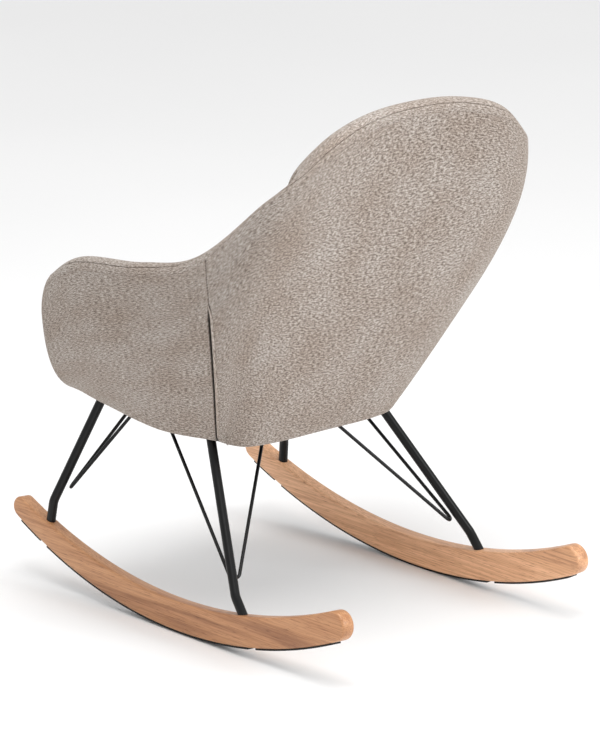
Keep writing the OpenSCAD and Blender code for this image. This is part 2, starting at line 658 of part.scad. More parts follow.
// A cap between outer rings and inner rings, open at its lower end
module cap_of(outer, inner) {
  n = len(outer[0]);
  m = len(outer);
  size = n * m;
  polyhedron(
    points = concat([for (r = outer) each r], [for (r = inner) each r]),
    faces = concat(
      [for (i = [0 : m - 2], j = [0 : n - 1])
        let (a = i * n + j, b = i * n + (j + 1) % n)
        each [[a, b, b + n], [a, b + n, a + n],
          [a + size, b + n + size, b + size], [a + size, a + n + size, b + n + size]]],
      [for (j = [0 : n - 1]) let (b = (j + 1) % n) each [[j, b + size, b], [j, j + size, b + size]]],
      [[for (j = [0 : n - 1]) (m - 1) * n + j]],
      [[for (j = [n - 1 : -1 : 0]) size + (m - 1) * n + j]]
    )
  );
}
module seat_cover() color(fabric) placed() cap_of(cover_rings(0), cover_rings(seat_cover_t));
module seat_foam() color(foam) placed() tube_of(seat_rings(seat_cover_t + gap));

// ---- What is drawn
rocker(LEFT);  // rocker_left
rocker(RIGHT);  // rocker_right
glide_front(LEFT);  // glide_front_left
glide_mid(LEFT);  // glide_mid_left
glide_rear(LEFT);  // glide_rear_left
glide_front(RIGHT);  // glide_front_right
glide_mid(RIGHT);  // glide_mid_right
glide_rear(RIGHT);  // glide_rear_right
leg(LEFT, true);  // leg_front_left
leg(RIGHT, true);  // leg_front_right
leg(LEFT, false);  // leg_rear_left
leg(RIGHT, false);  // leg_rear_right
brace(LEFT, true);  // brace_front_left
brace(RIGHT, true);  // brace_front_right
brace(LEFT, false);  // brace_rear_left
brace(RIGHT, false);  // brace_rear_right
leg_plugs();
rocker_bolts();
rocker_washers();
rail_across(true);  // rail_front
rail_across(false);  // rail_rear
rail_side(LEFT);  // rail_left
rail_side(RIGHT);  // rail_right
frame_tabs();
seat_bolts();
seat_washers();
tee_nuts();
bottom_cover();
seat_panel();
seat_foam();
seat_cover();
shell_core();
core_screws();
wall_foam();
inner_cover();
outer_back_cover();
outer_side_cover(LEFT);  // outer_side_cover_left
outer_side_cover(RIGHT);  // outer_side_cover_right
rim_border();
seam_piping(LEFT);  // seam_piping_left
seam_piping(RIGHT);  // seam_piping_right
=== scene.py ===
import math

import bmesh
import bpy
from mathutils import Matrix, Vector


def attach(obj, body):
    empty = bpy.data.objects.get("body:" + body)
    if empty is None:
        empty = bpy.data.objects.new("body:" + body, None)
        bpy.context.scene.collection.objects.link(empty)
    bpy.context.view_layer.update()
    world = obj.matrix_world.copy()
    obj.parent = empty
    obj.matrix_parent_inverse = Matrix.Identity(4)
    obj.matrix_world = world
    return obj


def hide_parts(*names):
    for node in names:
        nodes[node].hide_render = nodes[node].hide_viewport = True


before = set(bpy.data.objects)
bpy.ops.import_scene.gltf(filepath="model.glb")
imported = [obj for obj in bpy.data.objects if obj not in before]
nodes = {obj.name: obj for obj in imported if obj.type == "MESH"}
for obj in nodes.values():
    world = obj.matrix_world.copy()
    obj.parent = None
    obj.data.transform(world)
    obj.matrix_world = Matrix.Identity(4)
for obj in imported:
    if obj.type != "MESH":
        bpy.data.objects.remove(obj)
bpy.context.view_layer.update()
print("frame loaded:", len(nodes), "nodes")


# Materials: every finish reads Object coordinates or the cloth map of its own piece

def tone(red, green, blue):
    parts = [c / 255 for c in (red, green, blue)]
    return [p / 12.92 if p < 0.04 else ((p + 0.055) / 1.055) ** 2.4 for p in parts] + [1]


def startMaterial(name, roughness, **sockets):
    material = bpy.data.materials.new(name)
    material.use_nodes = True
    tree = material.node_tree
    shader = tree.nodes["Principled BSDF"]
    shader.inputs["Roughness"].default_value = roughness
    for socket, value in sockets.items():
        shader.inputs[socket.replace("_", " ")].default_value = value
    return material, tree, shader


def addNoise(tree, source, scale, stretch, detail=3, rough=0.55):
    mapping = tree.nodes.new("ShaderNodeMapping")
    mapping.inputs["Scale"].default_value = stretch
    noise = tree.nodes.new("ShaderNodeTexNoise")
    noise.inputs["Scale"].default_value = scale
    noise.inputs["Detail"].default_value = detail
    noise.inputs["Roughness"].default_value = rough
    tree.links.new(source, mapping.inputs["Vector"])
    tree.links.new(mapping.outputs["Vector"], noise.inputs["Vector"])
    return noise.outputs["Fac"]


def addMath(tree, operation, first, second):
    node = tree.nodes.new("ShaderNodeMath")
    node.operation = operation
    for place, value in enumerate((first, second)):
        if isinstance(value, (int, float)):
            node.inputs[place].default_value = value
        else:
            tree.links.new(value, node.inputs[place])
    return node.outputs[0]


def addRamp(tree, source, stops):
    ramp = tree.nodes.new("ShaderNodeValToRGB")
    while len(ramp.color_ramp.elements) < len(stops):
        ramp.color_ramp.elements.new(0.5)
    for element, (position, color) in zip(ramp.color_ramp.elements, stops):
        element.position = position
        element.color = color
    tree.links.new(source, ramp.inputs["Fac"])
    return ramp.outputs["Color"]


def addMix(tree, blend, amount, first, second):
    mix = tree.nodes.new("ShaderNodeMix")
    mix.data_type = "RGBA"
    mix.blend_type = blend
    for place, value in ((0, amount), (6, first), (7, second)):
        if isinstance(value, (int, float, list)):
            mix.inputs[place].default_value = value
        else:
            tree.links.new(value, mix.inputs[place])
    return mix.outputs[2]


def addBump(tree, shader, height, strength, distance):
    bump = tree.nodes.new("ShaderNodeBump")
    bump.inputs["Strength"].default_value = strength
    bump.inputs["Distance"].default_value = distance
    tree.links.new(height, bump.inputs["Height"])
    tree.links.new(bump.outputs["Normal"], shader.inputs["Normal"])


def objectPlace(tree):
    return tree.nodes.new("ShaderNodeTexCoord").outputs["Object"]


def clothPlace(tree):
    node = tree.nodes.new("ShaderNodeUVMap")
    node.uv_map = "cloth"
    return node.outputs["UV"]


chenille = {
    "dark": (98, 88, 81), "shadow": (139, 128, 120), "middle": (173, 164, 156), "light": (208, 202, 196),
    "slub": (150, 560, 1), "yarn": (620, 980, 1), "patch": (9, 14, 1), "slubShare": 0.62,
}


# paintedLightFactor scales every tone: below 1 it paints shade, above 1 it paints a highlight
def makeChenille(name, paintedLightFactor=1.0):
    material, tree, shader = startMaterial(
        name, 0.92, Sheen_Weight=0.22, Sheen_Roughness=0.45, Specular_IOR_Level=0.25)
    shader.inputs["Sheen Tint"].default_value = tone(235, 228, 220)
    place = clothPlace(tree)
    slub = addNoise(tree, place, 1, chenille["slub"], 3, 0.6)
    yarn = addNoise(tree, place, 1, chenille["yarn"], 2, 0.5)
    patch = addNoise(tree, place, 1, chenille["patch"], 3, 0.5)
    share = chenille["slubShare"]
    thread = addMath(
        tree, "ADD", addMath(tree, "MULTIPLY", slub, share), addMath(tree, "MULTIPLY", yarn, 1 - share))
    color = addRamp(tree, thread, [
        (0.39, [paintedLightFactor * c for c in tone(*chenille["dark"])[:3]] + [1]),
        (0.46, [paintedLightFactor * c for c in tone(*chenille["shadow"])[:3]] + [1]),
        (0.525, [paintedLightFactor * c for c in tone(*chenille["middle"])[:3]] + [1]),
        (0.61, [paintedLightFactor * c for c in tone(*chenille["light"])[:3]] + [1])])
    wear = addRamp(tree, patch, [(0.3, tone(220, 208, 198)), (0.7, tone(255, 255, 255))])
    tree.links.new(addMix(tree, "MULTIPLY", 0.7, color, wear), shader.inputs["Base Color"])
    addBump(tree, shader, thread, 0.3, 0.001)
    return material


# paler lifts every growth tone; the right rocker's large lift is painted light on its lit face
def makeWood(name, paler):
    material, tree, shader = startMaterial(name, 0.42, Coat_Weight=0.18, Coat_Roughness=0.3)
    place = objectPlace(tree)
    bands = addNoise(tree, place, 1, (34, 1.5, 34), 4, 0.6)
    fibres = addNoise(tree, place, 1, (420, 9, 420), 3, 0.6)
    pores = addNoise(tree, place, 1, (900, 40, 900), 2, 0.5)
    growth = ((0.34, (156, 104, 65)), (0.48, (188, 134, 90)), (0.6, (198, 145, 101)), (0.72, (176, 120, 77)))
    color = addRamp(tree, bands, [(stop, tone(*(c + paler for c in shade))) for stop, shade in growth])
    fine = addRamp(tree, fibres, [(0.36, tone(214, 200, 188)), (0.62, tone(255, 255, 255))])
    dots = addRamp(tree, pores, [(0.3, tone(176, 150, 130)), (0.4, tone(255, 255, 255))])
    color = addMix(tree, "MULTIPLY", 0.75, addMix(tree, "MULTIPLY", 0.8, color, fine), dots)
    tree.links.new(color, shader.inputs["Base Color"])
    addBump(tree, shader, fibres, 0.18, 0.0004)
    return material


def makePaint(name, low, high, roughness, **sockets):
    material, tree, shader = startMaterial(name, roughness, **sockets)
    place = objectPlace(tree)
    cloud = addNoise(tree, place, 18, (1, 1, 1), 2)
    grain = addNoise(tree, place, 900, (1, 1, 1), 2)
    color = addRamp(tree, cloud, [(0.35, tone(*low)), (0.65, tone(*high))])
    tree.links.new(color, shader.inputs["Base Color"])
    addBump(tree, shader, grain, 0.12, 0.0003)
    return material


def makePly(name):
    material, tree, shader = startMaterial(name, 0.65)
    place = objectPlace(tree)
    layers = addNoise(tree, place, 1, (6, 6, 520), 1)
    fibres = addNoise(tree, place, 1, (14, 260, 90), 3)
    color = addRamp(tree, layers, [(0.42, tone(171, 133, 92)), (0.55, tone(214, 184, 142))])
    fine = addRamp(tree, fibres, [(0.35, tone(224, 210, 196)), (0.6, tone(255, 255, 255))])
    tree.links.new(addMix(tree, "MULTIPLY", 0.8, color, fine), shader.inputs["Base Color"])
    addBump(tree, shader, fibres, 0.2, 0.0004)
    return material


fabric = makeChenille("upholsteryChenille")
# a near-black copy of the cloth: painted shade for the slit's recess
slitPaintedShadeFabric = makeChenille("slitPaintedShadeChenille", 0.12)
# a brighter copy of the cloth: painted highlight along the piping bead
pipingHighlightFabric = makeChenille("pipingPaintedHighlightChenille", 1.25)
# the right rocker's wood is lifted far paler than the left as painted light
woods = {"left": makeWood("oiledHardwood", 8), "right": makeWood("oiledHardwoodPaintedLight", 46)}
blackSteel = makePaint("satinBlackSteel", (6, 6, 7), (11, 11, 12), 0.3, Specular_IOR_Level=0.3)
rubber = makePaint("glideRubber", (19, 19, 19), (31, 30, 30), 0.78)
zinc = makePaint("zincSteel", (150, 150, 152), (184, 184, 188), 0.36, Metallic=0.9)
plywood = makePly("birchPlywood")
dustCloth = makePaint("blackDustCloth", (22, 22, 23), (38, 37, 37), 0.95)
finishes = {
    blackSteel: ("rail_front", "rail_rear", "rail_left", "rail_right", "frame_tabs"),
    rubber: tuple(n for n in nodes if n.startswith("glide_")),
    zinc: ("leg_plugs", "rocker_bolts", "rocker_washers", "seat_bolts", "seat_washers", "tee_nuts",
           "core_screws"),
    plywood: ("seat_panel", "shell_core"),
}
for finish, names in finishes.items():
    for name in names:
        nodes[name].data.materials.clear()
        nodes[name].data.materials.append(finish)
print("materials ready")


# Piece helpers

def finishPiece(name, bm, materials, replaced, sharp=40):
    mesh = bpy.data.meshes.new(name)
    bm.to_mesh(mesh)
    bm.free()
    for material in materials:
        mesh.materials.append(material)
    for face in mesh.polygons:
        face.use_smooth = True
    mesh.set_sharp_from_angle(angle=math.radians(sharp))
    piece = bpy.data.objects.new(name, mesh)
    bpy.context.scene.collection.objects.link(piece)
    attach(piece, "root")
    if replaced:
        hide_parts(*replaced)
    return piece


def addThickness(piece, thickness):
    modifier = piece.modifiers.new("thickness", "SOLIDIFY")
    modifier.thickness = thickness
    modifier.offset = -1
    return modifier


# A grid of columns and rows laid over a surface: place(column, row) gives the point and its cloth position
def layGrid(columns, rows, place, facing=None):
    bm = bmesh.new()
    bmesh.ops.create_grid(bm, x_segments=columns - 1, y_segments=rows - 1, size=1)
    cloth = bm.loops.layers.uv.new("cloth")
    spot = {}
    for vert in bm.verts:
        column = round((vert.co.x + 1) / 2 * (columns - 1))
        row = round((vert.co.y + 1) / 2 * (rows - 1))
        spot[vert.index] = (column, row)
    bm.verts.ensure_lookup_table()
    maps = {}
    for vert in bm.verts:
        point, uv = place(*spot[vert.index])
        vert.co = point
        maps[vert.index] = uv
    for face in bm.faces:
        for loop in face.loops:
            loop[cloth].uv = maps[loop.vert.index]
    bm.normal_update()
    if facing:
        total = sum(face.normal.dot(facing(face.calc_center_median())) for face in bm.faces)
        if total < 0:
            bmesh.ops.reverse_faces(bm, faces=bm.faces)
    return bm


# The shell's shape: the middle surface of the wall, from a net of eight stations a side

shell = {
    "armHalf": 0.332, "backHalf": 0.268, "baseHalf": 0.187, "backTop": 0.898, "armTop": 0.629,
    "railHeight": 0.321, "railRear": -0.034, "baseRise": 0.015, "tilt": math.radians(5), "shift": 0.02,
    "half": 0.019, "last": 7, "seam": 3.86, "hem": -0.035, "cornerRadius": 0.03,
    "stationLength": 0.11, "wallHeight": 0.34, "armFront": 0.18,
}


def baseHeight(y):
    return shell["railHeight"] + shell["baseRise"] + (0.05 - y) * math.tan(shell["tilt"])


def stationNet():
    arm, back, base = shell["armHalf"], shell["backHalf"], shell["baseHalf"]
    top, armTop = shell["backTop"], shell["armTop"]
    rows = [
        [(0, 0.049, baseHeight(0.049)), (0, 0.176, 0.593), (0, 0.256, top)],
        [(0.096, 0.047, baseHeight(0.047)), (back * 0.43, 0.182, 0.601), (back * 0.4, 0.262, top - 0.007)],
        [(0.155, 0.034, baseHeight(0.034)), (back * 0.785, 0.18, 0.611), (back * 0.76, 0.266, top - 0.039)],
        [(base - 0.013, 0.008, baseHeight(0.008)), (back, 0.158, 0.606), (back, 0.226, top - 0.115)],
        [(base, -0.011, baseHeight(-0.011)), (arm - 0.049, 0.082, 0.54),
         (arm - 0.025, 0.096, armTop + 0.033)],
        [(base + 0.034, -0.109, baseHeight(-0.109) - 0.008), (arm - 0.032, -0.035, armTop - 0.121),
         (arm, -0.025, armTop)],
        [(base + 0.045, -0.229, baseHeight(-0.229) - 0.004), (arm - 0.031, -0.174, armTop - 0.162),
         (arm + 0.006, -0.176, armTop - 0.02)],
        [(base + 0.052, -0.309, baseHeight(-0.309) + 0.004), (arm - 0.041, -0.297, armTop - 0.204),
         (arm - 0.023, -0.294, armTop - 0.083)],
    ]
    return [[Vector(p) for p in row] for row in rows]


net = stationNet()
ringCache = {}


def netPoint(station, level):
    if station < 0:
        point = netPoint(-station, level)
        return Vector((-point.x, point.y, point.z))
    if station > shell["last"]:
        return 2 * net[shell["last"]][level] - net[2 * shell["last"] - station][level]
    return net[station][level]


def rings(s):
    key = round(s, 5)
    if key not in ringCache:
        found = []
        for level in range(3):
            i = max(-shell["last"], min(shell["last"] - 1, math.floor(key)))
            t = key - i
            p0, p1, p2, p3 = [netPoint(i + k, level) for k in (-1, 0, 1, 2)]
            found.append((2 * p1 + (p2 - p0) * t + (2 * p0 - 5 * p1 + 4 * p2 - p3) * t * t
                          + (3 * p1 - p0 - 3 * p2 + p3) * t * t * t) / 2)
        ringCache[key] = found
    return ringCache[key]


def middle(s, v):
    low, mid, high = rings(s)
    return low * (1 - v) * (1 - 2 * v) + mid * 4 * v * (1 - v) + high * v * (2 * v - 1)


def alongStation(s, v):
    return (middle(s + 0.02, v) - middle(s - 0.02, v)).normalized()


def alongHeight(s, v):
    return (middle(s, v + 0.01) - middle(s, v - 0.01)).normalized()


def outward(s, v):
    return alongHeight(s, v).cross(alongStation(s, v)).normalized()


shiftY = Vector((0, shell["shift"], 0))


def wall(s, v, offset):
    return middle(s, v) + outward(s, v) * offset + shiftY


# Draws the square corner of the net at the arm's front into a round one
reachS = shell["cornerRadius"] / shell["stationLength"]
reachV = shell["cornerRadius"] / shell["armFront"]


def roundCorner(s, v):
    x = 1 - (shell["last"] - abs(s)) / reachS
    y = 1 - (1 - v) / reachV
    if x <= 0 or y <= 0:
        return s, v
    pull = max(x, y) / math.hypot(x, y)
    x, y = x * pull, y * pull
    side = 1 if s > 0 else -1
    return side * (shell["last"] - (1 - x) * reachS), 1 - (1 - y) * reachV


def edgeRoll(radius, depth, steps=3):
    angles = [math.pi / 2 * k / steps for k in range(steps + 1)]
    return [(0, depth)] + [(radius * (1 - math.cos(a)), radius * (1 - math.sin(a))) for a in angles]


# Half width of the slit in station units: open below, sewn shut towards the arm
slit = {
    "open": 0.062, "shut": 0.003, "top": 0.72, "full": 0.6, "depth": 0.0042, "fold": 0.0146, "foldTop": 0.7,
    "tuck": 0.032, "foldThickness": 0.0003, "foldMargin": 0.002, "foldSteps": 40,
}


def slitHalf(v):
    t = max(0, min(1, (slit["top"] - v) / (slit["top"] - slit["full"])))
    grow = 0.8 + 0.2 * max(0, min(1, (slit["full"] - v) / slit["full"]))
    return slit["shut"] + (slit["open"] * grow - slit["shut"]) * t * t * (3 - 2 * t)


def lengthOf(points):
    return sum((b - a).length for a, b in zip(points, points[1:]))


# A cover of the wall between two side edges, with its edges rolled in; edges are functions of the height
def makeCover(name, left, right, vLow, offset, step, rolls, replaced, thickness, vHigh=1):
    inner = [k / step for k in range(1, step)]
    first = [("left", shift, drop) for shift, drop in rolls["left"]]
    last = [("right", shift, drop) for shift, drop in reversed(rolls["right"])]
    across = first + [("share", a, 0) for a in inner] + last
    rowsIn = rolls["rows"]
    low = [("low", shift, drop) for shift, drop in rolls["low"]]
    high = [("high", shift, drop) for shift, drop in reversed(rolls["high"])]
    up = low + [("share", k / rowsIn, 0) for k in range(1, rowsIn)] + high
    way = 1 if offset > 0 else -1
    unitS, unitV = shell["stationLength"], shell["wallHeight"]

    def place(column, row):
        kind, amount, drop = up[row]
        between = vLow + (vHigh - vLow) * amount
        v = {"low": vLow + amount / unitV, "high": vHigh - amount / unitV}.get(kind, between)
        dropV = drop
        kind, amount, drop = across[column]
        a, b = left(v), right(v)
        s = {"left": a + amount / unitS, "right": b - amount / unitS}.get(kind, a + (b - a) * amount)
        uv = (s * unitS, v * unitV)
        s, v = roundCorner(s, v)
        return wall(s, v, offset - way * max(drop, dropV)), uv

    def outOf(point):
        return (point - Vector((0, -0.08, 0.6))).normalized() * way

    bm = layGrid(len(across), len(up), place, outOf)
    area = sum(face.calc_area() for face in bm.faces)
    piece = finishPiece(name, bm, [fabric], replaced, 60)
    addThickness(piece, thickness)
    return piece, area


covers = {
    "thickness": 0.0035, "roll": 0.0022, "flush": 0.0006, "hemRoll": 0.006, "hemFold": 0.0085,
    "columns": 96, "rows": 56, "turnIn": 0.03,
}
half = shell["half"]
seamRoll = edgeRoll(covers["roll"], slit["depth"])
hemRoll = edgeRoll(covers["hemRoll"], covers["hemFold"])
flushRoll = edgeRoll(covers["flush"], slit["depth"])
outerRolls = {"left": seamRoll, "right": seamRoll, "low": hemRoll, "high": flushRoll, "rows": covers["rows"]}
seam, last = shell["seam"], shell["last"]


def heightAt(s):
    return lengthOf([wall(s, shell["hem"] + (1 - shell["hem"]) * k / 30, half) for k in range(31)])


outerBack, backArea = makeCover(
    "outerBackCover", lambda v: -seam + slitHalf(v), lambda v: seam - slitHalf(v), shell["hem"], half,
    covers["columns"], outerRolls, ["outer_back_cover"], covers["thickness"])
backWidth = lengthOf([wall(-seam + 2 * seam * k / 60, 0.62, half) for k in range(61)])
backHeight = heightAt(0)
for side, word in ((1, "Left"), (-1, "Right")):
    edges = [lambda v, side=side: side * (seam + slitHalf(v)), lambda v, side=side: side * last][::side]
    sideRolls = dict(outerRolls, right=flushRoll) if side > 0 else dict(outerRolls, left=flushRoll)
    outerSide, sideArea = makeCover(
        "outerSideCover" + word, edges[0], edges[1], shell["hem"], half, covers["columns"] // 2,
        sideRolls, ["outer_side_cover_" + word.lower()], covers["thickness"])
    sideWidth = lengthOf([wall(side * (seam + (last - seam) * k / 30), 0.6, half) for k in range(31)])
    sideHeight = heightAt(side * 4.2)
print("outer covers made:", round(backArea, 3), round(sideArea, 3))

liner = {"low": 0.06, "thickness": 0.012, "roll": 0.003, "fold": 0.006, "columns": 136}
linerRoll = edgeRoll(liner["roll"], liner["fold"])
linerRolls = dict(outerRolls, left=linerRoll, right=linerRoll, low=linerRoll, high=linerRoll)
innerPad, _ = makeCover(
    "innerPad", lambda v: -last, lambda v: last, liner["low"], -half, liner["columns"], linerRolls,
    ["inner_cover", "wall_foam"], liner["thickness"])
print("inner pad made")


# Rim border: a half round along the arm fronts and the rim

border = {
    "roll": 0.0006, "depth": 0.005, "thickness": 0.004, "step": 8, "seam": 43, "seamDepth": 0.0022,
    "ends": (0.02, 0.5, 0.8, 0.95), "frontSteps": 26, "cornerSteps": 8, "rimSteps": 90, "endRound": 0.006,
}


def borderPath():
    path = []
    steps = border["frontSteps"]
    low, high = shell["hem"], 1 - reachV
    for k in range(steps):
        path.append((last, low + (high - low) * k / steps, 0))
    for k in range(border["cornerSteps"] + 1):
        turn = k / border["cornerSteps"]
        angle = math.pi / 2 * turn
        path.append((last - reachS * (1 - math.cos(angle)), high + reachV * math.sin(angle), turn))
    top = [(s, 1, 1) for s in [(last - reachS) * (1 - k / border["rimSteps"])
                              for k in range(1, border["rimSteps"] + 1)]]
    return path + top


def borderFrame(s, v, turn):
    side = 1 if s >= 0 else -1
    up, out, normal = alongHeight(s, v), alongStation(s, v) * side, outward(s, v)
    angle = math.pi / 2 * turn
    way = up * math.sin(angle) + out * math.cos(angle)
    way = (way - normal * way.dot(normal)).normalized()
    return middle(s, v) + shiftY, way, normal


def borderSection():
    roll, depth = border["roll"], border["depth"]
    turn = [(roll * (1 - math.cos(math.pi / 2 * k / 3)), half - roll * (1 - math.sin(math.pi / 2 * k / 3)))
            for k in range(4)]
    upper = [(0, half - depth)] + turn
    seamAt = border["seam"]
    groove = {seamAt + side * apart: share for side in (1, -1)
              for apart, share in ((0, 1), (1.5, 0.7), (3.5, 0.12), (6, 0))}
    plain = [a for a in range(-90 + border["step"], 90, border["step"]) if abs(a - seamAt) > 8]
    arc = []
    for degrees in sorted(plain + list(groove), reverse=True):
        angle = math.radians(degrees)
        drop = border["seamDepth"] * groove.get(degrees, 0)
        arc.append((roll + (half - roll - drop) * math.cos(angle), (half - drop) * math.sin(angle)))
    lower = [(e, -n) for e, n in reversed(upper)]
    return upper + arc + lower


halfPath = borderPath()
mirrored = [(-s, v, t) for s, v, t in reversed(halfPath[:-1])]
fullPath = halfPath + mirrored
sizes = list(border["ends"]) + [1] * len(fullPath) + list(reversed(border["ends"]))
fullPath = [fullPath[0]] * len(border["ends"]) + fullPath + [fullPath[-1]] * len(border["ends"])
section = borderSection()
ways = []
walked = 0
previous = None
for index, (s, v, turn) in enumerate(fullPath):
    centre, way, normal = borderFrame(s, v, turn)
    walked += (centre - previous).length if previous else 0
    previous = centre
    size = sizes[index]
    tip = alongHeight(s, v) * -border["endRound"] * math.sqrt(max(0, 1 - size * size))
    ways.append((centre + tip, way, normal, walked, size))


girth = [0]
for (e0, n0), (e1, n1) in zip(section, section[1:]):
    girth.append(girth[-1] + math.hypot(e1 - e0, n1 - n0))


def borderPlace(column, row):
    centre, way, normal, length, size = ways[column]
    e, n = section[row]
    mid = way * half * 0.4 * (1 - size)
    return centre + mid + (way * e + normal * n) * size, (length, 0.5 + girth[row])


def borderOut(point):
    return (point - Vector((0, -0.08, 0.55))).normalized()


rimBorder = finishPiece("rimBorder", layGrid(len(ways), len(section), borderPlace, borderOut), [fabric],
                        ["rim_border"], 60)
addThickness(rimBorder, border["thickness"])
print("rim border made")


# Piping: a bead on the back cover's side of each slit, tapering out where the slit is sewn shut, in a
# brighter copy of the cloth as painted highlight

piping = {"radius": 0.0022, "sides": 10, "steps": 60, "low": -0.02, "high": 0.7, "sit": 0.0182,
          "beside": 0.019}
for side, word in ((1, "left"), (-1, "right")):
    def pipePlace(column, row, side=side):
        share = column / (piping["steps"] - 1)
        v = piping["low"] + (piping["high"] - piping["low"]) * share
        s = side * (seam - slitHalf(v) + piping["beside"])
        taper = min(1, 12 * share, 8 * (1 - share))
        radius = piping["radius"] * math.sqrt(max(0, 1 - (1 - taper) ** 2))
        up, normal = alongHeight(s, v), outward(s, v)
        around = up.cross(normal)
        angle = 2 * math.pi * row / piping["sides"]
        point = wall(s, v, piping["sit"]) + (normal * math.cos(angle) + around * math.sin(angle)) * radius
        return point, (v * shell["wallHeight"], row * 0.0015)

    bm = layGrid(piping["steps"], piping["sides"] + 1, pipePlace)
    bmesh.ops.remove_doubles(bm, verts=bm.verts, dist=0.00002)
    bmesh.ops.recalc_face_normals(bm, faces=bm.faces)
    pipe = finishPiece("seamPiping" + word.title(), bm, [pipingHighlightFabric],
                       ["seam_piping_" + word], 80)

    # the folded cloth at the bottom of the slit, coloured near black as painted shade in the recess
    def foldPlace(column, row, side=side):
        v = shell["hem"] + (slit["foldTop"] - shell["hem"]) * column / slit["foldSteps"]
        s = side * seam + (row / 4 - 0.5) * 2 * (slitHalf(v) + slit["tuck"])
        return wall(s, v, slit["fold"]), (v * shell["wallHeight"], s * shell["stationLength"])

    def foldOut(point):
        return (point - Vector((0, -0.08, 0.6))).normalized()

    bm = layGrid(slit["foldSteps"] + 1, 5, foldPlace, foldOut)
    foldArea = sum(face.calc_area() for face in bm.faces)
    foldHeights = [shell["hem"] + (slit["foldTop"] - shell["hem"]) * k / 20 for k in range(21)]
    foldLength = lengthOf([wall(side * seam, v, slit["fold"]) for v in foldHeights])
    fold = finishPiece("slitFold" + word.title(), bm, [slitPaintedShadeFabric], [])
    addThickness(fold, slit["foldThickness"])
print("piping made")


# Seat: a crowned cushion over the panel, with a rolled front

seat = {
    "panelTop": 0.0238, "flange": 0.0018, "height": 0.062, "crown": 0.016, "gap": 0.0022, "lobe": 0.028,
    "sides": 84, "front": 26, "skirt": 0.0145, "puff": 0.0035,
    "voxel": 0.006, "pressure": 4, "frames": 20, "fill": 0.85,
}
seatBottom = seat["panelTop"] + seat["flange"]
tanTilt, cosTilt = math.tan(shell["tilt"]), math.cos(shell["tilt"])


def planeHeight(p):
    return (p.z - shell["railHeight"] - (shell["railRear"] - p.y) * tanTilt) * cosTilt


def liftTo(p, height):
    return Vector((p.x, p.y, shell["railHeight"] + (shell["railRear"] - p.y) * tanTilt + height / cosTilt))


def wallAtHeight(s, height, offset):
    low, high = -0.1, 0.6
    for _ in range(15):
        v = (low + high) / 2
        point = middle(s, v) + outward(s, v) * offset
        if planeHeight(point) < height:
            low = v
        else:
            high = v
    return liftTo(point, height)


def seatOutline(height, offset, lobe, reach=last):
    places = [-reach + 2 * reach * k / (seat["sides"] - 1) for k in range(seat["sides"])]
    walls = [wallAtHeight(s, height, offset) for s in places]
    a, b = walls[-1], walls[0]
    count = seat["front"]
    front = []
    for k in range(1, count + 1):
        t = k / (count + 1)
        point = a.lerp(b, t) + Vector((0, -lobe * (1 - (2 * t - 1) ** 4), 0))
        front.append(liftTo(point, height))
    return walls + front


def shrinkRing(ring, share, rise):
    centre = liftTo(Vector((0, -0.13, 0)), planeHeight(ring[0]))
    return [centre + (p - centre) * share + Vector((0, 0, rise)) for p in ring]


def seatRings(inset):
    offset = -half - seat["gap"] - inset
    height, lobe = seat["height"] - inset, seat["lobe"]
    made = []
    for up, forward in ((0, 0.33), (0.12, 0.62), (0.28, 0.9), (0.45, 1), (0.62, 1), (0.78, 0.92)):
        made.append(seatOutline(seatBottom + height * up, offset, lobe * forward - inset))
    for up, share in ((0.88, 0.994), (0.95, 0.982), (0.99, 0.965), (1.0, 0.945)):
        made.append(shrinkRing(seatOutline(seatBottom + height * up, offset, lobe * 0.85 - inset), share, 0))
    top = seatOutline(seatBottom + height, offset, lobe * 0.85 - inset)
    for share in (0.9, 0.8, 0.68, 0.54, 0.4, 0.26, 0.12):
        made.append(shrinkRing(top, share, seat["crown"] * (1 - (share / 0.95) ** 2.2)))
    return made


def makeSeat(inset, skirtDrop):
    made = seatRings(inset)
    count = len(made[0])
    if skirtDrop:
        edge = seat["sides"]
        skirt = [p - Vector((0, 0, skirtDrop * max(0, min(1, (k - edge + 1) / 2, (count - k) / 2))))
                 for k, p in enumerate(made[0])]
        made = [skirt] + made
    bm = bmesh.new()
    loops = []
    for ring in made:
        verts = [bm.verts.new(p + shiftY) for p in ring]
        loops.append([bm.edges.new((verts[k], verts[(k + 1) % count])) for k in range(count)])
    for low, high in zip(loops, loops[1:]):
        bmesh.ops.bridge_loops(bm, edges=low + high)
    bmesh.ops.edgeloop_fill(bm, edges=loops[0])
    bmesh.ops.edgeloop_fill(bm, edges=loops[-1])
    bmesh.ops.recalc_face_normals(bm, faces=bm.faces)
    return bm


def mapCloth(bm):
    cloth = bm.loops.layers.uv.new("cloth")
    for face in bm.faces:
        n = face.normal
        for loop in face.loops:
            p = loop.vert.co
            if abs(n.z) > 0.6:
                loop[cloth].uv = (p.x, p.y)
            elif abs(n.y) > abs(n.x):
                loop[cloth].uv = (p.x, p.z)
            else:
                loop[cloth].uv = (p.y, p.z)


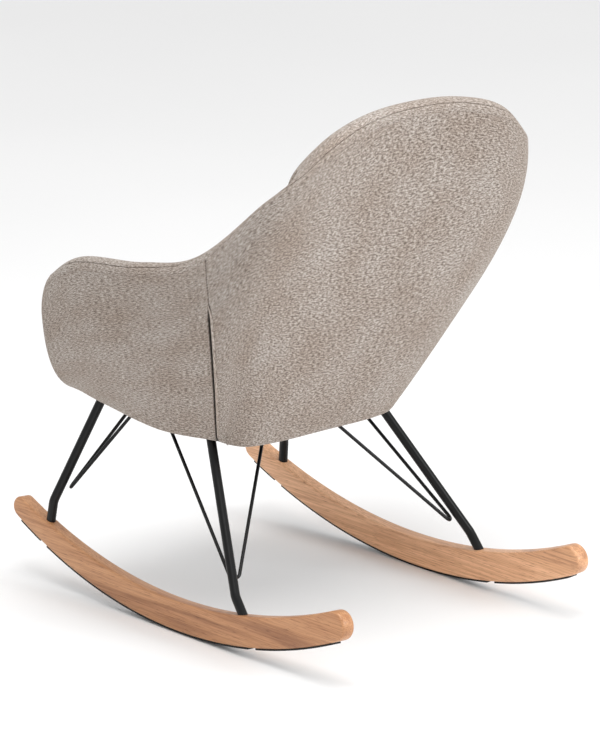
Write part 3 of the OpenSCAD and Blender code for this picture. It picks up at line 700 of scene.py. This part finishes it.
# Inflates a slightly small copy of the form as cloth, and keeps every point near its place
def inflate(source, cap):
    bm = source.copy()
    mesh = bpy.data.meshes.new("softForm")
    bm.to_mesh(mesh)
    bm.free()
    form = bpy.data.objects.new("softForm", mesh)
    bpy.context.scene.collection.objects.link(form)
    remesh = form.modifiers.new("even", "REMESH")
    remesh.mode = "VOXEL"
    remesh.voxel_size = seat["voxel"]
    view = bpy.context.evaluated_depsgraph_get()
    even = bpy.data.meshes.new_from_object(form.evaluated_get(view))
    form.modifiers.clear()
    form.data = even
    start = [v.co.copy() for v in even.vertices]
    cloth = form.modifiers.new("cloth", "CLOTH")
    cloth.settings.use_pressure = True
    cloth.settings.uniform_pressure_force = seat["pressure"]
    cloth.settings.effector_weights.gravity = 0
    cloth.settings.quality = 5
    for number in range(1, seat["frames"] + 1):
        bpy.context.scene.frame_set(number)
    view = bpy.context.evaluated_depsgraph_get()
    blown = bpy.data.meshes.new_from_object(form.evaluated_get(view))
    bpy.context.scene.frame_set(1)
    for vert, place in zip(blown.vertices, start):
        move = vert.co - place
        if move.length > cap:
            vert.co = place + move.normalized() * cap
    bm = bmesh.new()
    bm.from_mesh(blown)
    bpy.data.objects.remove(form)
    for _ in range(2):
        bmesh.ops.smooth_vert(
            bm, verts=bm.verts, factor=0.5, use_axis_x=True, use_axis_y=True, use_axis_z=True)
    bm.normal_update()
    return bm


form = makeSeat(seat["puff"], seat["skirt"])
soft = inflate(form, seat["puff"])
form.free()
form = soft
mapCloth(form)
seatCushion = finishPiece("seatCushion", form, [fabric], ["seat_cover", "seat_foam"], 80)
subdivision = seatCushion.modifiers.new("smooth", "SUBSURF")
subdivision.levels = 1
subdivision.render_levels = 1
print("seat cushion made")


# Dust cover under the seat panel

dust = {"low": 0.0103, "thickness": 0.0011, "edge": 0.0052, "reach": 6.85, "cell": 0.012,
        "ripple": 0.0006}
outline = [p + shiftY for p in seatOutline(dust["low"] + dust["thickness"], dust["edge"], 0, dust["reach"])]
bm = bmesh.new()
verts = [bm.verts.new(p) for p in outline]
bm.faces.new(verts)
for axis, count in ((0, 44), (1, 34)):
    for k in range(-count // 2, count // 2 + 1):
        point = Vector((0, 0, 0.34))
        point[axis] = k * dust["cell"] - (0.13 if axis == 1 else 0)
        normal = Vector((0, 0, 0))
        normal[axis] = 1
        everything = bm.verts[:] + bm.edges[:] + bm.faces[:]
        bmesh.ops.bisect_plane(bm, geom=everything, plane_co=point, plane_no=normal)
bm.normal_update()
if sum(face.normal.z for face in bm.faces) > 0:
    bmesh.ops.reverse_faces(bm, faces=bm.faces)
for vert in bm.verts:
    if not vert.is_boundary:
        x, y = vert.co.x, vert.co.y
        ripple = math.sin(61 * x + 1.7 * math.sin(19 * y)) * math.sin(47 * y + x * 8)
        vert.co.z -= dust["ripple"] * (1 + ripple)
dustArea = sum(face.calc_area() for face in bm.faces)
dustCover = finishPiece("dustCover", bm, [dustCloth], ["bottom_cover"], 60)
addThickness(dustCover, dust["thickness"])
print("dust cover made")


# Rockers: an outline spun from arcs, extruded, rounded over, and bored for feet and bolts

rocker = {
    "track": 0.543, "width": 0.026, "cant": math.radians(3.7), "rollRadius": 0.998, "glide": 0.003,
    "glideWidth": 0.02, "front": 0.446, "rear": 0.406, "frontTip": 0.036, "mid": 0.051, "rearTip": 0.051,
    "frontFoot": -0.357, "rearFoot": 0.146, "frontLean": math.radians(8), "rearLean": math.radians(-38),
    "frontFootLength": 0.036, "rearFootLength": 0.033, "socket": 0.01, "roundOver": 0.0045,
    "counterbore": 0.016, "counterboreRadius": 0.0085, "footHole": 0.0082, "below": 0.015, "sharp": 30,
}
woodRadius = rocker["rollRadius"] - rocker["glide"]


def woodHeight(y):
    return rocker["rollRadius"] - math.sqrt(woodRadius ** 2 - y * y)


def over(y, height):
    slope = math.asin(y / woodRadius)
    return Vector((y - height * math.sin(slope), woodHeight(y) + height * math.cos(slope)))


def circleThrough(a, b, c):
    det = 2 * (a.x * (b.y - c.y) + b.x * (c.y - a.y) + c.x * (a.y - b.y))
    sa, sb, sc = a.length_squared, b.length_squared, c.length_squared
    centre = Vector(((sa * (b.y - c.y) + sb * (c.y - a.y) + sc * (a.y - b.y)) / det,
                     (sa * (c.x - b.x) + sb * (a.x - c.x) + sc * (b.x - a.x)) / det))
    return centre, (a - centre).length


topCentre, topRadius = circleThrough(
    over(-rocker["front"] + rocker["frontTip"] / 2, rocker["frontTip"]), over(0, rocker["mid"]),
    over(rocker["rear"] - rocker["rearTip"] / 2, rocker["rearTip"]))
rockerLift = rocker["glideWidth"] / 2 * math.sin(rocker["cant"])


def topHeight(y):
    return topCentre.y - math.sqrt(topRadius ** 2 - (y - topCentre.x) ** 2)


def onRocker(side):
    return (Matrix.Translation((side * rocker["track"] / 2, shell["shift"], rockerLift))
            @ Matrix.Rotation(-side * rocker["cant"], 4, "Y"))


def footPlace(front):
    end = "front" if front else "rear"
    return rocker[end + "Foot"], rocker[end + "Lean"]


def footPoint(front, along):
    y, lean = footPlace(front)
    return Vector((0, y + along * math.sin(lean), topHeight(y) + along * math.cos(lean)))


def footDepth(front):
    y, lean = footPlace(front)
    dy, dz = y, topHeight(y) - rocker["rollRadius"]
    b = dy * math.sin(lean) + dz * math.cos(lean)
    return b + math.sqrt(b * b - (dy * dy + dz * dz - woodRadius ** 2))


def spinOn(bm, vert, centre, angle, steps):
    made = bmesh.ops.spin(bm, geom=[vert], cent=(0, centre.x, centre.y), axis=(1, 0, 0), angle=angle,
                          steps=steps, use_merge=False)
    return [g for g in made["geom_last"] if isinstance(g, bmesh.types.BMVert)][0]


def makeRockerForm():
    noseFront, noseRear = rocker["frontTip"] / 2, rocker["rearTip"] / 2
    yFront = -(rocker["front"] - noseFront) / (1 - noseFront / woodRadius)
    yRear = (rocker["rear"] - noseRear) / (1 - noseRear / woodRadius)
    bm = bmesh.new()
    first = bm.verts.new((0, yFront, woodHeight(yFront)))
    rollCentre = Vector((0, rocker["rollRadius"]))
    swing = math.asin(yRear / woodRadius) - math.asin(yFront / woodRadius)
    end = spinOn(bm, first, rollCentre, swing, 72)
    end = spinOn(bm, end, over(yRear, noseRear), math.pi, 14)
    frontTop = over(yFront, rocker["frontTip"])
    startAngle = math.atan2(end.co.y - topCentre.x, topCentre.y - end.co.z)
    stopAngle = math.atan2(frontTop.x - topCentre.x, topCentre.y - frontTop.y)
    end = spinOn(bm, end, topCentre, stopAngle - startAngle, 72)
    end = spinOn(bm, end, over(yFront, noseFront), math.pi, 14)
    bmesh.ops.weld_verts(bm, targetmap={end: first})
    face = bmesh.ops.contextual_create(bm, geom=bm.edges[:])["faces"][0]
    face.normal_update()
    for vert in bm.verts:
        vert.co.x = -rocker["width"] / 2
    made = bmesh.ops.extrude_face_region(bm, geom=[face])
    moved = [g for g in made["geom"] if isinstance(g, bmesh.types.BMVert)]
    bmesh.ops.translate(bm, verts=moved, vec=(rocker["width"], 0, 0))
    bmesh.ops.recalc_face_normals(bm, faces=bm.faces)
    rim = [e for e in bm.edges if len(e.link_faces) == 2 and e.calc_face_angle() > math.radians(60)]
    bmesh.ops.bevel(bm, geom=rim, offset=rocker["roundOver"], offset_type="OFFSET", segments=4, profile=0.5,
                    affect="EDGES", material=-1, clamp_overlap=True)
    return bm


def addCylinder(bm, start, way, length, radius):
    turn = Vector((0, 0, 1)).rotation_difference(way).to_matrix().to_4x4()
    place = Matrix.Translation(start + way * length / 2) @ turn
    bmesh.ops.create_cone(
        bm, cap_ends=True, segments=28, radius1=radius, radius2=radius, depth=length, matrix=place)


for side, word in ((1, "left"), (-1, "right")):
    bm = makeRockerForm()
    bmesh.ops.transform(bm, matrix=onRocker(side), verts=bm.verts)
    body = finishPiece("rocker" + word.title(), bm, [woods[word]], ["rocker_" + word],
                       rocker["sharp"])
    cut = bmesh.new()
    for front in (True, False):
        place = onRocker(side)
        way = (place.to_3x3() @ (footPoint(front, 1) - footPoint(front, 0))).normalized()
        foot = place @ footPoint(front, 0)
        depth = footDepth(front)
        addCylinder(cut, foot - way * rocker["socket"], way, rocker["socket"] * 2.5, rocker["footHole"])
        addCylinder(cut, foot - way * (depth + rocker["below"]), way, rocker["below"] + rocker["counterbore"],
                    rocker["counterboreRadius"])
    mesh = bpy.data.meshes.new("bores")
    cut.to_mesh(mesh)
    cut.free()
    cutter = bpy.data.objects.new("bores", mesh)
    bpy.context.scene.collection.objects.link(cutter)
    boolean = body.modifiers.new("bores", "BOOLEAN")
    boolean.object = cutter
    boolean.operation = "DIFFERENCE"
    boolean.solver = "EXACT"
    view = bpy.context.evaluated_depsgraph_get()
    bored = bpy.data.meshes.new_from_object(body.evaluated_get(view))
    body.modifiers.clear()
    body.data = bored
    bpy.data.objects.remove(cutter)
    bored.set_sharp_from_angle(angle=math.radians(rocker["sharp"]))
print("rockers made")


# Legs and braces: rods bent round a corner

rods = {
    "leg": 0.008, "legBend": 0.04, "brace": 0.003, "braceBend": 0.009, "braceRise": 0.01, "rail": 0.006,
    "rearTop": 0.182, "frontTop": 0.196, "railDepth": 0.257, "rearBraceX": 0.058, "frontBraceX": 0.092,
    "rearBraceY": 0.11, "frontBraceY": 0.172,
}


def seatPoint(x, y, z):
    tilt = shell["tilt"]
    return Vector((x, shell["railRear"] + y * math.cos(tilt) + z * math.sin(tilt),
                   shell["railHeight"] - y * math.sin(tilt) + z * math.cos(tilt)))


def canted(side, point):
    return Vector((side * (rocker["track"] / 2 - point.z * math.sin(rocker["cant"])), point.y,
                   rockerLift + point.z * math.cos(rocker["cant"])))


def legTop(side, front):
    if front:
        return seatPoint(side * rods["frontTop"], -rods["railDepth"], 0)
    return seatPoint(side * rods["rearTop"], 0, 0)


def bendRod(start, corner, end, radius, bendRadius, segments, bendSteps):
    start, corner, end = start + shiftY, corner + shiftY, end + shiftY
    first, second = (corner - start).normalized(), (end - corner).normalized()
    turn = first.angle(second)
    back = bendRadius * math.tan(turn / 2)
    axis = first.cross(second).normalized()
    centre = corner - first * back + axis.cross(first) * bendRadius
    bm = bmesh.new()
    place = Matrix.Translation(start) @ Vector((0, 0, 1)).rotation_difference(first).to_matrix().to_4x4()
    ring = bmesh.ops.create_circle(bm, cap_ends=False, segments=segments, radius=radius, matrix=place)
    edges = list({e for v in ring["verts"] for e in v.link_edges})
    startEdges = list(edges)

    def pull(edges, move):
        made = bmesh.ops.extrude_edge_only(bm, edges=edges)["geom"]
        bmesh.ops.translate(bm, verts=[g for g in made if isinstance(g, bmesh.types.BMVert)], vec=move)
        return [g for g in made if isinstance(g, bmesh.types.BMEdge)]

    edges = pull(edges, corner - first * back - start)
    made = bmesh.ops.spin(
        bm, geom=edges, cent=centre, axis=axis, angle=turn, steps=bendSteps, use_merge=False)
    edges = [g for g in made["geom_last"] if isinstance(g, bmesh.types.BMEdge)]
    edges = pull(edges, end - (corner + second * back))
    bmesh.ops.edgeloop_fill(bm, edges=startEdges)
    bmesh.ops.edgeloop_fill(bm, edges=edges)
    bmesh.ops.remove_doubles(bm, verts=bm.verts, dist=0.00001)
    bmesh.ops.recalc_face_normals(bm, faces=bm.faces)
    return bm


def pulledBack(tip, apex, rail):
    way = (tip - apex).normalized()
    cosine = abs(way.dot(rail.normalized()))
    return tip - way * ((rods["rail"] + rods["brace"] * cosine) / math.sqrt(1 - cosine * cosine))


for side, word in ((1, "left"), (-1, "right")):
    for front, end in ((True, "front"), (False, "rear")):
        length = rocker["frontFootLength"] if front else rocker["rearFootLength"]
        corner = canted(side, footPoint(front, length))
        foot = canted(side, footPoint(front, -rocker["socket"]))
        top = legTop(side, front)
        tip = top + (top - corner).normalized() * rods["rail"]
        bm = bendRod(foot, corner, tip, rods["leg"], rods["legBend"], 36, 14)
        finishPiece("leg" + end.title() + word.title(), bm, [blackSteel],
                    [f"leg_{end}_{word}"], 50)

        onLeg = corner + (top - corner).normalized() * rods["braceRise"]
        if front:
            y, x, rearward = rods["frontBraceY"], rods["frontBraceX"], -rods["railDepth"]
        else:
            y, x, rearward = rods["rearBraceY"], rods["rearBraceX"], 0
        railX = rods["rearTop"] + (rods["frontTop"] - rods["rearTop"]) * y / rods["railDepth"]
        tops = [seatPoint(side * railX, -y, 0), seatPoint(side * x, rearward, 0)]
        up = (top - onLeg).normalized()
        middleWay = (tops[0] + tops[1]) / 2 - onLeg
        apex = onLeg + (middleWay - up * middleWay.dot(up)).normalized() * (rods["leg"] + rods["brace"])
        sideWay = legTop(side, True) - legTop(side, False)
        start = pulledBack(tops[0], apex, sideWay)
        stop = pulledBack(tops[1], apex, Vector((1, 0, 0)))
        bm = bendRod(start, apex, stop, rods["brace"], rods["braceBend"], 20, 12)
        finishPiece("brace" + end.title() + word.title(), bm, [blackSteel],
                    [f"brace_{end}_{word}"], 50)
print("legs and braces made")


# Floor, light and camera

studio = {
    "place": (6.7263, 7.6118, 3.3563), "right": (-0.7491, 0.6625, 0), "up": (-0.1856, -0.2098, 0.96),
    "back": (0.636, 0.7191, 0.2801), "lens": 301.2, "floor": 40, "world": 0.75,
}
bm = bmesh.new()
bmesh.ops.create_grid(bm, x_segments=2, y_segments=2, size=studio["floor"])
mesh = bpy.data.meshes.new("floor")
bm.to_mesh(mesh)
bm.free()
floor = bpy.data.objects.new("floor", mesh)
bpy.context.scene.collection.objects.link(floor)
floorMaterial, tree, shader = startMaterial("paleFloor", 0.9)
floorCloud = addNoise(tree, objectPlace(tree), 0.8, (1, 1, 1), 2)
tree.links.new(addRamp(tree, floorCloud, [(0.3, tone(250, 250, 250)), (0.7, tone(253, 253, 253))]),
               shader.inputs["Base Color"])
mesh.materials.append(floorMaterial)

world = bpy.data.worlds.new("studio")
bpy.context.scene.world = world
world.use_nodes = True
world.node_tree.nodes["Background"].inputs["Color"].default_value = (1, 1, 1, 1)
world.node_tree.nodes["Background"].inputs["Strength"].default_value = studio["world"]


lights = {
    "overhead": {"place": (0.4, 0.6, 3.6), "target": (0, 0, 0.5), "size": 2.6, "power": 70},
    "backSide": {"place": (-1.6, 4.2, 2.2), "target": (0, 0, 0.6), "size": 1.8, "power": 75},
    "armSide": {"place": (4.2, 0.6, 1.6), "target": (0, 0, 0.5), "size": 1.6, "power": 1},
}


def addLight(name, place, target, size, power):
    data = bpy.data.lights.new(name, "AREA")
    data.shape = "DISK"
    data.size = size
    data.energy = power
    light = bpy.data.objects.new(name, data)
    light.location = place
    light.rotation_euler = (Vector(target) - Vector(place)).to_track_quat("-Z", "Y").to_euler()
    bpy.context.scene.collection.objects.link(light)


for name, settings in lights.items():
    addLight(name, **settings)

cameraData = bpy.data.cameras.new("studioCamera")
camera = bpy.data.objects.new("studioCamera", cameraData)
bpy.context.scene.collection.objects.link(camera)
axes = Matrix((studio["right"], studio["up"], studio["back"])).transposed().to_4x4()
camera.matrix_world = Matrix.Translation(studio["place"]) @ axes
cameraData.sensor_fit = "VERTICAL"
cameraData.sensor_height = 36
cameraData.lens = studio["lens"]
cameraData.clip_end = 100
bpy.context.scene.camera = camera
bpy.context.scene.view_settings.view_transform = "Standard"
print("studio ready")
